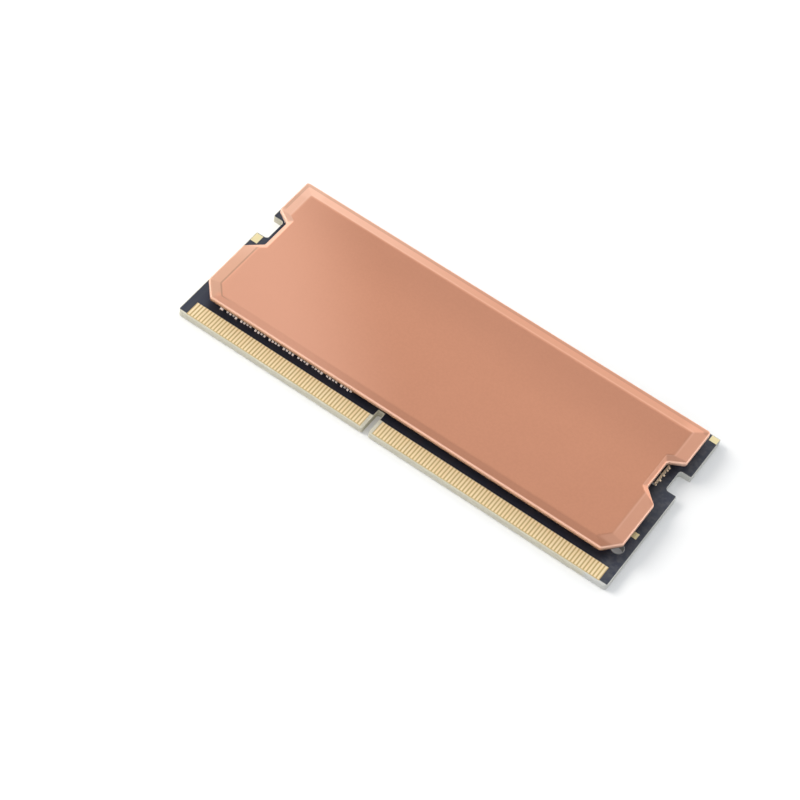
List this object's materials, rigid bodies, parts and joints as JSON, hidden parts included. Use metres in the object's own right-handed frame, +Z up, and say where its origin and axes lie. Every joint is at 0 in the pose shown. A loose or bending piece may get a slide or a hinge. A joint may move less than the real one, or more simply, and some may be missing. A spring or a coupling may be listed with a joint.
{
  "type": "memory heatsink",
  "caption": "Flat copper heatsink with a raised panel and latch cut-outs, bonded over the chips of a black small-outline memory module with a gold contact edge.",
  "frame": {"origin": "middle of the circuit board's underside", "axes": "+X along the contact edge, +Y from the contact edge to the back edge, +Z up through the heatsink"},
  "size_m": [0.0696, 0.03, 0.0035],
  "materials": {
    "copper": "satin, fine blasted copper",
    "board": "black solder mask, pale bare laminate at the routed edges",
    "contact_gold": "plated gold",
    "chip_epoxy": "moulded, matt",
    "thermal_pad": "soft, matt",
    "resistor_ceramic": "glazed dark",
    "capacitor_ceramic": "matt",
    "tin": "tinned, satin"
  },
  "bodies": {
    "root": {"heat_spreader": "copper", "thermal_pad": "thermal_pad", "circuit_board": "board", "config_memory": "chip_epoxy", "edge_pads": "contact_gold", "resistor_bodies": "resistor_ceramic", "resistor_terminals": "tin", "capacitor_bodies": "capacitor_ceramic", "capacitor_terminals": "tin", "memory_chip_1": "chip_epoxy", "memory_chip_2": "chip_epoxy", "memory_chip_3": "chip_epoxy", "memory_chip_4": "chip_epoxy", "memory_chip_5": "chip_epoxy", "memory_chip_6": "chip_epoxy", "memory_chip_7": "chip_epoxy", "memory_chip_8": "chip_epoxy", "contacts_top_short": "contact_gold", "contacts_top_long": "contact_gold", "contacts_bottom_short": "contact_gold", "contacts_bottom_long": "contact_gold"}
  },
  "joints": []
}
